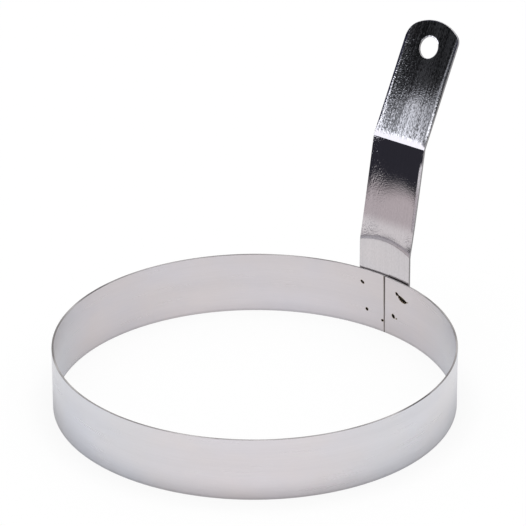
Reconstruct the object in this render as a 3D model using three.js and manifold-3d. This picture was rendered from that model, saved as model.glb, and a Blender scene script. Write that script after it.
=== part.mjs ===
// Egg ring: a round steel band closed by one butt joint, and a tall strip handle spot-welded
// across that joint. Millimetres, +Z up. The band rests on z = 0, the handle stands at +Y.

import * as THREE from 'three';
import { mergeVertices } from 'three/addons/utils/BufferGeometryUtils.js';
import Module from 'manifold-3d';

const wasm = await Module();
wasm.setup();

// Band: a strip rolled into a ring
const band_radius = 78; // outside
const band_height = 25;
const band_sheet = 0.8;
const band_edge_break = 0.12;
const joint_gap = 0.15; // opening between the strip's two ends, at the table
const joint_spread = 0.25; // how much wider that opening is at the top
const joint_offset = 0.6; // middle of that opening, to the +X side of the handle's centre line
const joint_lift = 0.5; // how far the top corner of the +X end springs in from the circle

// Handle: a strip with a curved pad, a flat web, an elbow and a round-nosed grip
const handle_width = 25.6;
const handle_sheet = 0.8;
const handle_edge_break = 0.18;
const pad_gap = 0.2; // between the band and the pad
const pad_rise = 3; // the pad's lower edge above the table
const crease_height = 40.1; // top of the pad, at mid-width
const crease_crown = 2; // how much lower the crease runs at the side edges
const crease_radius = 9;
const elbow_height = 80.8;
const elbow_setback = 7.1; // from the pad's face out to the elbow
const elbow_radius = 9;
const grip_length = 49.78; // from the elbow to the tip
const grip_lean = THREE.MathUtils.degToRad(27.2); // from upright, away from the ring
const tip_rise = 5.3; // height of the tip's crown over the handle's width
const tip_offset = 0.65; // middle of the crown, to the +X side
const tip_left_corner = 6; // corner radius on the -X side
const tip_right_corner = 3.2;
const hole_diameter = 9;
const hole_inset = 11; // hole's centre below the tip
const hole_offset = 0.5; // hole's centre, to the -X side

// Spot welds: nuggets half sunk into both sheets, with an electrode mark behind each
const nugget_diameter = 3;
const nugget_depth = 0.3; // into each sheet
const nugget_clearance = 0.08;
const nugget_land = 0.35; // sheet left between the outermost nugget's seat and the pad's side
const mark_diameter = 4.2;
const mark_depth = 0.1;
const overrun = 1; // how far a cutting shape starts outside the face it cuts

// across: from the handle's centre line towards the outermost place a nugget can have.
// up: of the band's height.
const weld_shares = {
  spot_weld_upper_left: { across: -0.98, up: 0.77 },
  spot_weld_lower_left: { across: -0.77, up: 0.31 },
  spot_weld_upper_right: { across: 0.9, up: 0.73 },
  spot_weld_lower_right: { across: 0.5, up: 0.36 },
};

// How finely the curves are divided
const band_steps = 150;
const lift_steps = 8;
const crease_steps = 8;
const web_steps = 4;
const elbow_steps = 6;
const corner_steps = 5;
const crown_steps = 12;
const hole_sides = 48;
const mark_sides = 28;
const nugget_sides = 20;
const nugget_rows = 8;

// Worked out from the sizes above
const pad_face_radius = band_radius + pad_gap;
const half_width = handle_width / 2;
const lift_reach = half_width - joint_offset;
const weld_reach = half_width - nugget_land - nugget_clearance - nugget_diameter / 2;

const satin_steel = new THREE.MeshStandardMaterial({ color: 0xcfcdcf, roughness: 0.34, metalness: 1 });
const polished_steel = new THREE.MeshStandardMaterial({ color: 0xd8d8dc, roughness: 0.1, metalness: 1 });
const fused_steel = new THREE.MeshStandardMaterial({ color: 0x8d8a88, roughness: 0.55, metalness: 1 });

// A closed sheet with bevelled edges. place(i, j, inset, depth) gives the point in column i of
// row j, inset from the sheet's outline and depth behind its face. Columns run across, rows run
// along, and across, depth and along make a right-handed set.
function sheet_geometry(columns, rows, sheet, bevel, place) {
  const vertices = [];
  const indices = [];
  const add = (i, j, inset, depth) => vertices.push(place(i, j, inset, depth)) - 1;
  const add_face = (depth) => Array.from({ length: rows + 1 }, (_, j) =>
    Array.from({ length: columns + 1 }, (_, i) => add(i, j, bevel, depth)));
  const add_quad = (a, b, c, d) => indices.push(a, b, c, a, c, d);

  const front = add_face(0);
  const back = add_face(sheet);
  for (let j = 0; j < rows; j++) {
    for (let i = 0; i < columns; i++) {
      add_quad(front[j][i], front[j][i + 1], front[j + 1][i + 1], front[j + 1][i]);
      add_quad(back[j][i], back[j + 1][i], back[j + 1][i + 1], back[j][i + 1]);
    }
  }

  const rim = [];
  for (let i = 0; i < columns; i++) rim.push([i, 0]);
  for (let j = 0; j < rows; j++) rim.push([columns, j]);
  for (let i = columns; i > 0; i--) rim.push([i, rows]);
  for (let j = rows; j > 0; j--) rim.push([0, j]);
  const layers = [
    rim.map(([i, j]) => front[j][i]),
    rim.map(([i, j]) => add(i, j, 0, bevel)),
    rim.map(([i, j]) => add(i, j, 0, sheet - bevel)),
    rim.map(([i, j]) => back[j][i]),
  ];
  for (let k = 0; k < rim.length; k++) {
    const next = (k + 1) % rim.length;
    for (let layer = 0; layer + 1 < layers.length; layer++) {
      add_quad(layers[layer][k], layers[layer + 1][k], layers[layer + 1][next], layers[layer][next]);
    }
  }

  const geometry = new THREE.BufferGeometry().setFromPoints(vertices);
  geometry.setIndex(indices);
  return geometry;
}

function to_solid(geometry) {
  const bare = geometry.clone();
  bare.deleteAttribute('normal');
  bare.deleteAttribute('uv');
  const merged = mergeVertices(bare);
  return new wasm.Manifold(new wasm.Mesh({
    numProp: 3,
    vertProperties: new Float32Array(merged.attributes.position.array),
    triVerts: new Uint32Array(merged.index.array),
  }));
}

function to_geometry(solid) {
  const mesh = solid.getMesh();
  const geometry = new THREE.BufferGeometry();
  geometry.setAttribute('position', new THREE.BufferAttribute(mesh.vertProperties, 3));
  geometry.setIndex(new THREE.BufferAttribute(mesh.triVerts, 1));
  return geometry;
}

// Turns a shape that stands along +Y so that it points along a direction from a place.
function aim(geometry, place, direction) {
  const turn = new THREE.Quaternion().setFromUnitVectors(new THREE.Vector3(0, 1, 0), direction);
  return geometry.applyQuaternion(turn).translate(place.x, place.y, place.z);
}

// Point at a radius, at an arc length from the handle's centre line measured on the pad's face
function on_circle(radius, across, height) {
  const angle = across / pad_face_radius;
  return new THREE.Vector3(radius * Math.sin(angle), radius * Math.cos(angle), height);
}

// How far the band stands in from its circle: most at the joint's top corner on the +X side,
// falling away down the band and smoothly along it to the pad's +X edge.
function band_lift(across, height) {
  const away = THREE.MathUtils.clamp((across - joint_offset) / lift_reach, 0, 1);
  return joint_lift * (height / band_height) * (1 - THREE.MathUtils.smoothstep(away, 0, 1));
}

function make_band() {
  const rows = lift_steps + band_steps;
  const place = (i, j, inset, depth) => {
    const height = i === 0 ? inset : band_height - inset;
    const opening = joint_gap + joint_spread * height / band_height;
    const length = 2 * Math.PI * pad_face_radius - opening;
    const first = lift_reach * Math.min(j / lift_steps, 1);
    const rest = (length - lift_reach) * Math.max(j - lift_steps, 0) / band_steps;
    const from_end = THREE.MathUtils.clamp(first + rest, inset, length - inset);
    const across = joint_offset + opening / 2 + from_end;
    const lift = across < half_width ? band_lift(across, height) : 0;
    return on_circle(band_radius - lift - depth, across, height);
  };
  return sheet_geometry(1, rows, band_sheet, band_edge_break, place);
}

// The column of the handle that starts at an arc length across the pad and ends at a reach past
// the elbow: straight up the pad, round the crease, up the web, round the elbow, up the grip.
function handle_column(across, foot_height, reach) {
  const edge_share = across / half_width;
  const foot = on_circle(pad_face_radius, across, foot_height);
  const crease = on_circle(pad_face_radius, across, crease_height - crease_crown * edge_share ** 2);
  const elbow = new THREE.Vector3(across, pad_face_radius + elbow_setback, elbow_height);
  const grip_direction = new THREE.Vector3(0, Math.sin(grip_lean), Math.cos(grip_lean));
  const tip = elbow.clone().addScaledVector(grip_direction, reach);

  const round_corner = (before, corner, after, radius) => {
    const into = corner.clone().sub(before).normalize();
    const out = after.clone().sub(corner).normalize();
    const tangent_length = radius * Math.tan(into.angleTo(out) / 2);
    return new THREE.QuadraticBezierCurve3(
      corner.clone().addScaledVector(into, -tangent_length),
      corner,
      corner.clone().addScaledVector(out, tangent_length));
  };
  const crease_bend = round_corner(foot, crease, elbow, crease_radius);
  const elbow_bend = round_corner(crease, elbow, tip, elbow_radius);
  return [
    new THREE.LineCurve3(foot, crease_bend.v0),
    crease_bend,
    new THREE.LineCurve3(crease_bend.v2, elbow_bend.v0),
    elbow_bend,
    new THREE.LineCurve3(elbow_bend.v2, tip),
  ];
}

// Where each row of the handle lies: on which stretch of its columns, and how far along it
const handle_rows = [[0, 0]];
[crease_steps, web_steps, elbow_steps].forEach((steps, k) => {
  for (let step = 0; step < steps; step++) handle_rows.push([k + 1, step / steps]);
});
handle_rows.push([4, 0], [4, 1]);

// The tip's outline: a crown arc between two corner arcs that are tangent to it and to the sides.
// For each column from the -X side to the +X side, its place across and its end past the elbow,
// as a function of the inset.
function tip_columns() {
  const crown_radius = (half_width ** 2 + tip_rise ** 2) / (2 * tip_rise);
  const crown_past = grip_length - crown_radius;
  const arc_column = (centre_across, centre_past, radius, angle) => (inset) => [
    centre_across + (radius - inset) * Math.cos(angle),
    centre_past + (radius - inset) * Math.sin(angle),
  ];
  // The corner on one side, from the straight side round to where the crown takes over
  const corner = (side, radius) => {
    const across = side * (half_width - radius);
    const rise = Math.sqrt((crown_radius - radius) ** 2 - (across - tip_offset) ** 2);
    const side_angle = side > 0 ? 0 : Math.PI;
    const meeting_angle = Math.atan2(rise, across - tip_offset);
    const columns = Array.from({ length: corner_steps }, (_, k) => {
      const angle = THREE.MathUtils.lerp(side_angle, meeting_angle, k / corner_steps);
      return arc_column(across, crown_past + rise, radius, angle);
    });
    return { columns, meeting_angle };
  };
  const left = corner(-1, tip_left_corner);
  const right = corner(1, tip_right_corner);
  const crown = Array.from({ length: crown_steps + 1 }, (_, k) => {
    const angle = THREE.MathUtils.lerp(left.meeting_angle, right.meeting_angle, k / crown_steps);
    return arc_column(tip_offset, crown_past, crown_radius, angle);
  });
  return [...left.columns, ...crown, ...right.columns.reverse()];
}

function make_handle() {
  const columns = tip_columns();
  const slope_step = handle_sheet / 100;
  const place = (i, j, inset, depth) => {
    const [across, reach] = columns[i](inset);
    const [stretch, share] = handle_rows[j];
    const point_at = (shift) =>
      handle_column(across + shift, pad_rise + inset, reach)[stretch].getPoint(share);
    const along = handle_column(across, pad_rise + inset, reach)[stretch].getTangent(share);
    const sideways = point_at(slope_step).sub(point_at(-slope_step));
    const outward = along.cross(sideways).normalize();
    return point_at(0).addScaledVector(outward, depth);
  };
  return sheet_geometry(columns.length - 1, handle_rows.length - 1, handle_sheet, handle_edge_break, place);
}

function make_hole_cutter() {
  const past_elbow = grip_length - hole_inset;
  const outward = new THREE.Vector3(0, Math.cos(grip_lean), -Math.sin(grip_lean));
  const centre = new THREE.Vector3(-hole_offset, pad_face_radius + elbow_setback, elbow_height)
    .add(new THREE.Vector3(0, Math.sin(grip_lean), Math.cos(grip_lean)).multiplyScalar(past_elbow))
    .addScaledVector(outward, handle_sheet / 2);
  const radius = hole_diameter / 2;
  const length = handle_sheet + 2 * overrun;
  return to_solid(aim(new THREE.CylinderGeometry(radius, radius, length, hole_sides), centre, outward));
}

// A weld nugget: a lens between the band and the pad that reaches nugget_depth into each
function nugget_geometry(shares, grow) {
  const across = weld_reach * shares.across;
  const height = band_height * shares.up;
  const inner = band_radius - band_lift(across, height) - nugget_depth;
  const outer = pad_face_radius + nugget_depth;
  const half_length = (outer - inner) / 2 + grow;
  const radius = nugget_diameter / 2 + grow;
  const profile = [];
  for (let k = 0; k <= nugget_rows; k++) {
    const angle = Math.PI * (k / nugget_rows - 1 / 2);
    const on_axis = k === 0 || k === nugget_rows;
    profile.push(new THREE.Vector2(on_axis ? 0 : radius * Math.cos(angle), half_length * Math.sin(angle)));
  }
  const lens = new THREE.LatheGeometry(profile, nugget_sides);
  const centre = on_circle((inner + outer) / 2, across, height);
  return aim(lens, centre, on_circle(1, across, 0));
}

// An electrode mark: a shallow dish in the pad's outer face behind a nugget
function make_mark_cutter(shares) {
  const across = weld_reach * shares.across;
  const outer_face = pad_face_radius + handle_sheet;
  const length = mark_depth + overrun;
  const centre = on_circle(outer_face - mark_depth + length / 2, across, band_height * shares.up);
  const wide = mark_diameter / 2 + overrun;
  const narrow = mark_diameter / 2 - mark_depth;
  return to_solid(aim(new THREE.CylinderGeometry(wide, narrow, length, mark_sides), centre, on_circle(1, across, 0)));
}

function make_mesh(name, geometry, material) {
  const mesh = new THREE.Mesh(geometry, material);
  mesh.name = name;
  return mesh;
}

let band = to_solid(make_band());
let handle = to_solid(make_handle()).subtract(make_hole_cutter());
const nuggets = Object.entries(weld_shares).map(([name, shares]) => {
  const seat = to_solid(nugget_geometry(shares, nugget_clearance));
  band = band.subtract(seat);
  handle = handle.subtract(seat).subtract(make_mark_cutter(shares));
  return make_mesh(name, to_geometry(to_solid(nugget_geometry(shares, 0))), fused_steel);
});

const egg_ring = new THREE.Group();
egg_ring.add(make_mesh('ring_band', to_geometry(band), satin_steel));
egg_ring.add(make_mesh('handle', to_geometry(handle), polished_steel));
egg_ring.add(...nuggets);

// The origin is the middle of the whole footprint, on the table
const bounds = new THREE.Box3().setFromObject(egg_ring);
egg_ring.position.y = -(bounds.min.y + bounds.max.y) / 2;

export default egg_ring;
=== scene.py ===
"""Looks of a steel egg ring: satin band and mirror-bright handle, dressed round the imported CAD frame."""

import logging
import math
from dataclasses import dataclass, field
from enum import Enum
from typing import Callable, NamedTuple

import bpy
import numpy as np
from mathutils import Matrix, Vector


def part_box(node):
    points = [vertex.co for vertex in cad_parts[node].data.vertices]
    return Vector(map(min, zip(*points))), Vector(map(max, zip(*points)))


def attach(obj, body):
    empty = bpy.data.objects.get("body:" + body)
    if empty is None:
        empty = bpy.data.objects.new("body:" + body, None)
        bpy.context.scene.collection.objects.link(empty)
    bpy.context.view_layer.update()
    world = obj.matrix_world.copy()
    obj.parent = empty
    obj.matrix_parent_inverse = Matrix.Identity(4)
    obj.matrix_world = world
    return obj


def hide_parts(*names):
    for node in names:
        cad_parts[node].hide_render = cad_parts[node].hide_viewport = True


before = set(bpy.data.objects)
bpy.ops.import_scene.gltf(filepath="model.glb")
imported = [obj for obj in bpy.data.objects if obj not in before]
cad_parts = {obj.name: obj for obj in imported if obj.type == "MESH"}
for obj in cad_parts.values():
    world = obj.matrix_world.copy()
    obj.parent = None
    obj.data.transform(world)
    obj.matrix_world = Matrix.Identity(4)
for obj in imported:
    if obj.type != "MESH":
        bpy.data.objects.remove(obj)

LOG = logging.getLogger("egg_ring")
MM = 0.001
UP = Vector((0.0, 0.0, 1.0))
WHITE = (1.0, 1.0, 1.0)
BLACK = (0.0, 0.0, 0.0)
STRIP_MAP = "strip"  # UV map: metres across or along the strip that a piece is made of
BURN_AND_SHADE = "scorch"  # attribute: 0 clean steel, 1 burnt by a weld; also the painted shade line along the band's joint, and painted shade on the handle's pad where the band covers it
CUT_EDGE = "cut_edge"  # attribute: 0 on a sheet's faces, 1 on its cut edges
PAINTED_SHEEN = "sheen"  # attribute: painted sheen, how much brighter or darker lanes along the grip are painted
BUFFED = "buffed"  # attribute: 0 as rolled, 1 buffed lengthwise
GRAIN = "grain"  # attribute: how strong the pebble is
PAINTED_WEB_SHADE = "web_shade_tint"  # attribute: 0 clean steel, 1 under painted shade, darker and warmer, on the web
RUBBED = "rubbed"  # attribute: 0 mirror, 1 rubbed dull

Array = np.ndarray
Piece = bpy.types.Object
Material = bpy.types.Material
Node = bpy.types.Node
Socket = bpy.types.NodeSocket
Pair = tuple[float, float]
Colour = tuple[float, float, float]
Surface = Callable[[Array, Array, Array], Array]
Relief = Callable[[Array, Array], Array]


class Slot(Enum):
    """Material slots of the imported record."""

    BAND = "band_steel"
    HANDLE = "handle_steel"
    WELD = "weld_steel"


class Mark(Enum):
    """Shapes that a weld leaves on the band's inner face."""

    PIT = "pit"
    CRESCENT = "crescent"


def smooth_share(value: Array, low: float, high: float) -> Array:
    """Share of the way from low to high, eased: 3t^2 - 2t^3 with t the clipped straight share."""
    t = np.clip((value - low) / (high - low), 0.0, 1.0)
    return t * t * (3.0 - 2.0 * t)


def unit(vectors: Array) -> Array:
    """Vectors of length 1, along the last axis."""
    return vectors / np.linalg.norm(vectors, axis=-1, keepdims=True)


def heading(angle: Array) -> Array:
    """Unit steps (cos, sin) at angles, as pairs on a new last axis."""
    return np.stack([np.cos(angle), np.sin(angle)], axis=-1)


def eased_steps(length: float, fine: float, coarse: float, fine_reach: float) -> Array:
    """Places from 0 to length, closely spaced near 0 and near length and wide apart between.

    The step grows smoothly from fine to coarse, starting at fine_reach from either end. Places are the
    evenly spread quantiles of the running sum of 1 / step.

    Args:
        length: Last place.
        fine: Step at the ends.
        coarse: Step in the middle.
        fine_reach: How far from either end the fine step holds.

    Returns:
        Increasing places, the first 0 and the last length.
    """
    along = np.linspace(0.0, length, int(length / fine) + 1)
    from_end = np.minimum(along, length - along)
    step = fine + (coarse - fine) * smooth_share(from_end, fine_reach, 2.0 * fine_reach)
    count = np.concatenate([[0.0], np.cumsum(np.diff(along) / (0.5 * (step[1:] + step[:-1])))])
    return np.interp(np.linspace(0.0, count[-1], int(count[-1]) + 1), count, along)


def grid_cells(columns: int, rows: int, skip: tuple[int, int, int, int] | None = None) -> Array:
    """Cells of a grid whose point (i, j) has number i * rows + j, less those of a block that is left out.

    Args:
        columns: Points across.
        rows: Points along.
        skip: First and last column and first and last row of the block.

    Returns:
        Four point numbers per cell.
    """
    i, j = np.meshgrid(np.arange(columns - 1), np.arange(rows - 1), indexing="ij")
    cells = np.stack([i * rows + j, (i + 1) * rows + j, (i + 1) * rows + j + 1, i * rows + j + 1], axis=-1)
    if skip is None:
        return cells.reshape(-1, 4)
    left, right, low, high = skip
    return cells[~((i >= left) & (i < right) & (j >= low) & (j < high))]


def grid_rim(left: int, right: int, low: int, high: int, rows: int) -> Array:
    """Numbers of the points round a block of a grid, anticlockwise from its lower left corner.

    Args:
        left: First column of the block.
        right: Its last column.
        low: Its first row.
        high: Its last row.
        rows: Points along the whole grid.

    Returns:
        Each point's number once.
    """
    bottom = np.arange(left, right) * rows + low
    side = right * rows + np.arange(low, high)
    top = np.arange(right, left, -1) * rows + high
    back = left * rows + np.arange(high, low, -1)
    return np.concatenate([bottom, side, top, back])


def make_piece(name: str, points: Array, faces: Array, values: dict[str, Array], strip: Array) -> Piece:
    """Puts arrays into a smooth-shaded mesh object at the origin.

    Args:
        name: Name of the object and its mesh.
        points: Vertex places, (n, 3), in metres.
        faces: Four vertex numbers per face.
        values: Attribute name to one number per vertex.
        strip: Strip coordinates of each vertex, (n, 2).

    Returns:
        The new object.
    """
    mesh = bpy.data.meshes.new(name)
    mesh.vertices.add(len(points))
    mesh.vertices.foreach_set("co", points.astype(np.float32).ravel())
    mesh.loops.add(faces.size)
    mesh.loops.foreach_set("vertex_index", faces.astype(np.int32).ravel())
    mesh.polygons.add(len(faces))
    mesh.polygons.foreach_set("loop_start", np.arange(0, faces.size, 4, dtype=np.int32))
    mesh.polygons.foreach_set("use_smooth", np.ones(len(faces), dtype=bool))
    mesh.update(calc_edges=True)
    for label, numbers in values.items():
        mesh.attributes.new(label, "FLOAT", "POINT").data.foreach_set("value", numbers.astype(np.float32))
    strip_map = mesh.uv_layers.new(name=STRIP_MAP)
    strip_map.data.foreach_set("uv", strip[faces.ravel()].astype(np.float32).ravel())
    mesh.validate()
    piece = bpy.data.objects.new(name, mesh)
    bpy.context.scene.collection.objects.link(piece)
    return piece


def hand_over(piece: Piece, finish: Material, node: str) -> Piece:
    """Dresses a piece and puts it in place of its CAD node.

    Args:
        piece: New object.
        finish: Its steel.
        node: CAD node that it stands for.

    Returns:
        The piece.
    """
    piece.data.materials.append(finish)
    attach(piece, "root")
    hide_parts(node)
    return piece


@dataclass
class FaceNet:
    """Flat net of one face of a sheet, in the sheet's own two lengths."""

    points: Array  # places (across, along) of the net's points, in metres
    cells: Array  # four point numbers per cell, anticlockwise with across to the right and along upwards
    rims: list[Array]  # closed loops of boundary point numbers, each with the sheet on its left
    outward: list[Array]  # for each loop, the unit step (across, along) out of the sheet at each point


@dataclass(frozen=True)
class SheetBuilder:
    """Closes a face net into a solid sheet with rounded edges."""

    thickness: float
    rounding: float  # radius of the rounded edges; the net stops this far inside the true outline
    rounding_steps: int = 3  # facets in each quarter round

    def build(self, name: str, net: FaceNet, place: Surface, reliefs: tuple[Relief, Relief],
              tones: dict[str, Relief]) -> Piece:
        """Makes the closed mesh of a sheet.

        The front face is the net at depth relief, the back face the net at thickness less relief. Round each
        rim, the rings of a quarter round, the cut wall and another quarter round join the two: at turn t the
        ring stands rounding * sin(t) outward, and rounding * (1 - cos(t)) below its face.

        Args:
            name: Name of the piece.
            net: The face's net.
            place: Gives points from arrays of across, along and depth below the front face.
            reliefs: Depth of the relief in the front face, and in the back face.
            tones: Attribute name to its number on the front face. The back face and the edges have 0.

        Returns:
            The new object, at the origin.
        """
        count = len(net.points)
        sunk, raised = (relief(*net.points.T) for relief in reliefs)
        strip = [net.points, net.points]
        depth = [sunk, self.thickness - raised]
        edge = [np.zeros(2 * count)]
        faces = [net.cells, net.cells[:, ::-1] + count]
        start = 2 * count
        turns = np.linspace(0.0, math.pi / 2.0, self.rounding_steps + 1)[1:]
        for rim, outward in zip(net.rims, net.outward):
            rings = [(self.rounding * math.sin(t), self.rounding * (1.0 - math.cos(t))) for t in turns]
            rings += [(out, self.thickness - down) for out, down in reversed(rings)]
            loops = [rim]
            for out, down in rings:
                strip.append(net.points[rim] + out * outward)
                share = down / self.thickness
                depth.append(down + sunk[rim] * (1.0 - share) - raised[rim] * share)
                edge.append(np.full(len(rim), smooth_share(np.array(out), 0.0, self.rounding)))
                loops.append(np.arange(start, start + len(rim)))
                start += len(rim)
            loops.append(rim + count)
            for upper, lower in zip(loops, loops[1:]):
                faces.append(np.stack([upper, lower, np.roll(lower, -1), np.roll(upper, -1)], axis=1))
        strip = np.concatenate(strip)
        points = place(*strip.T, np.concatenate(depth))
        values = {CUT_EDGE: np.concatenate(edge)}
        for label, tone in tones.items():
            values[label] = np.concatenate([tone(*net.points.T), np.zeros(len(points) - count)])
        return make_piece(name, points, np.concatenate(faces), values, strip)


@dataclass(frozen=True)
class WeldSpot:
    """One spot weld between the band and the pad."""

    node: str  # CAD node of its nugget
    across: float  # place across the pad, by arc length from the handle's centre line
    height: float  # above the table

    def distance(self, across: Array, height: Array) -> Array:
        """Distance from its axis."""
        return np.hypot(across - self.across, height - self.height)


@dataclass(frozen=True)
class WeldMark:
    """A burn that a weld left on the band's inner face."""

    kind: Mark
    across: float  # middle of a pit or of a crescent's circle, by arc length from the handle's centre line
    height: float  # the same point's height above the table
    long_radius: float  # half the length of a pit, or the radius of a crescent's circle
    short_radius: float  # half the width
    tilt: float = 0.0  # turn from level of a pit's length or a crescent's middle, seen from inside the ring
    spread: float = 0.0  # half the arc that a crescent takes
    depth: float = 0.14 * MM  # how deep it is sunk
    burn: float = 1.0  # how dark it is, from 0 to 1
    ribs: float = 0.0  # lighter ribs across a crescent, per full turn
    rib_share: float = 0.3  # half the burn that is gone on a rib
    burn_edge: Pair = (0.9, 1.5)  # nearness between which the burn fades out
    far_off: float = 9.0  # nearness of what lies past a crescent's ends
    taper_floor: float = 1e-4  # least square of a crescent's taper

    def nearness(self, across: Array, height: Array) -> Array:
        """Distance from the mark's spine, in half widths.

        A pit is an ellipse, so its nearness is the ellipse radius. A crescent is an arc of a circle whose
        half width narrows to both ends: nearness is the distance from the arc over that half width.

        Args:
            across: Places along the band.
            height: Heights.

        Returns:
            0 on the spine, 1 at the rim of the mark.
        """
        x = across - self.across
        z = height - self.height
        if self.kind is Mark.PIT:
            level = x * math.cos(self.tilt) + z * math.sin(self.tilt)
            upright = z * math.cos(self.tilt) - x * math.sin(self.tilt)
            return np.hypot(level / self.long_radius, upright / self.short_radius)
        turn = np.arctan2(z, x) - self.tilt
        turn = (turn + math.pi) % (2.0 * math.pi) - math.pi
        taper = np.sqrt(np.clip(1.0 - (turn / self.spread) ** 2, self.taper_floor, 1.0))
        near = np.abs(np.hypot(x, z) - self.long_radius) / (self.short_radius * taper)
        return np.where(np.abs(turn) < self.spread, near, self.far_off)

    def sunk(self, across: Array, height: Array) -> Array:
        """Depth of the mark: depth * (1 - nearness^2)^2 inside it, 0 outside."""
        near = np.clip(self.nearness(across, height), 0.0, 1.0)
        return self.depth * (1.0 - near**2) ** 2

    def scorch(self, across: Array, height: Array) -> Array:
        """Burn of the steel, less rib_share * (1 - cos(ribs * turn)) of it.

        Args:
            across: Places along the band.
            height: Heights.

        Returns:
            Burn, from 0 to 1.
        """
        burn = self.burn * (1.0 - smooth_share(self.nearness(across, height), *self.burn_edge))
        turn = np.arctan2(height - self.height, across - self.across)
        return burn * (1.0 - self.rib_share * (1.0 - np.cos(self.ribs * turn)))


SCAR = (12.35 * MM, 23.75 * MM)  # middle of the circle that the scar at the upper right weld follows
SCAR_TILT = math.radians(-109.0)


@dataclass(frozen=True)
class WeldPlan:
    """Where the welds are, and what they left on both sheets."""

    ring_centre: float  # place of the ring's axis along +Y
    band_radius: float  # outer radius of the band
    pad_gap: float = 0.2 * MM  # clearance between the band and the pad
    nugget_radius: float = 1.5 * MM
    nugget_depth: float = 0.3 * MM  # how far a nugget reaches into each sheet
    nugget_clearance: float = 0.08 * MM  # round a nugget
    dish_radius: float = 2.1 * MM  # electrode's dish in the pad's outer face
    dish_depth: float = 0.1 * MM
    dish_flat_share: float = 0.7  # part of its radius that is flat
    marks: tuple[WeldMark, ...] = (
        WeldMark(Mark.PIT, -10.7 * MM, 19.2 * MM, 0.8 * MM, 0.46 * MM, tilt=-0.6),
        WeldMark(Mark.PIT, -8.4 * MM, 7.7 * MM, 0.6 * MM, 0.5 * MM, tilt=-0.9),
        WeldMark(Mark.PIT, -0.56 * MM, 5.0 * MM, 0.5 * MM, 0.45 * MM, burn=0.8),
        WeldMark(Mark.PIT, 5.4 * MM, 8.9 * MM, 0.85 * MM, 0.6 * MM, tilt=-0.9, burn=0.9),
        WeldMark(Mark.PIT, 7.1 * MM, 8.35 * MM, 0.35 * MM, 0.3 * MM, burn=0.55, depth=0.06 * MM),
        WeldMark(Mark.PIT, 7.25 * MM, 19.5 * MM, 0.7 * MM, 0.48 * MM, tilt=-1.0, burn=0.9),
        WeldMark(Mark.CRESCENT, *SCAR, 6.2 * MM, 0.86 * MM, SCAR_TILT, math.radians(24.0), ribs=46.0),
        WeldMark(Mark.CRESCENT, *SCAR, 6.05 * MM, 0.3 * MM, SCAR_TILT, math.radians(34.0), 0.1 * MM, 0.5),
    )

    @property
    def turn_length(self) -> float:
        """Length of the full circle on which arc lengths are measured, the pad's inner face."""
        return 2.0 * math.pi * (self.band_radius + self.pad_gap)

    @property
    def spots(self) -> tuple[WeldSpot, ...]:
        """The four spot welds, each at the middle of its nugget's box.

        Returns:
            The spots.
        """
        found = []
        for side in ("upper_left", "lower_left", "upper_right", "lower_right"):
            low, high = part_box(f"spot_weld_{side}")
            centre = (low + high) / 2.0
            turn = math.atan2(centre.x, centre.y - self.ring_centre)
            found.append(WeldSpot(f"spot_weld_{side}", turn * (self.band_radius + self.pad_gap), centre.z))
        return tuple(found)

    def seats(self, across: Array, height: Array) -> Array:
        """Depth of the nuggets' seats in the two faces that meet there.

        A nugget with its clearance is a flattened ball: half height h, radius R. It enters a face by
        h * sqrt(1 - r^2 / R^2) less half the gap, where that is above 0.

        Args:
            across: Places across the pad.
            height: Heights.

        Returns:
            Depths.
        """
        half_gap = self.pad_gap / 2.0
        half_height = half_gap + self.nugget_depth + self.nugget_clearance
        radius = self.nugget_radius + self.nugget_clearance
        total = np.zeros_like(across)
        for spot in self.spots:
            share = (spot.distance(across, height) / radius) ** 2
            total = np.maximum(total, half_height * np.sqrt(np.clip(1.0 - share, 0.0, 1.0)) - half_gap)
        return total

    def dishes(self, across: Array, height: Array) -> Array:
        """Depth of the electrode's dishes: flat in the middle and eased out at the rim.

        Args:
            across: Places across the pad.
            height: Heights.

        Returns:
            Depths.
        """
        flat = self.dish_flat_share * self.dish_radius
        near = (1.0 - smooth_share(s.distance(across, height), flat, self.dish_radius) for s in self.spots)
        return self.dish_depth * sum(near)

    def pits(self, across: Array, height: Array) -> Array:
        """Depth of the marks on the band's inner face."""
        return sum(mark.sunk(across, height) for mark in self.marks)

    def scorch(self, across: Array, height: Array) -> Array:
        """Burn on the band's inner face, from 0 to 1."""
        return np.clip(sum(mark.scorch(across, height) for mark in self.marks), 0.0, 1.0)


class Ramp(NamedTuple):
    """A straight change from one number to another, held beyond both ends."""

    start: float
    end: float
    before: float = 0.0
    after: float = 1.0


class Pattern(NamedTuple):
    """A noise pattern and the numbers that its levels stand for."""

    scale: tuple[float, float, float]  # cells per metre on each axis
    ramp: Ramp = Ramp(0.35, 0.65)  # from noise level to the pattern's number
    detail: float = 2.0  # octaves of finer noise
    rough: float = 0.5  # strength of each octave in the one before it


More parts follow.
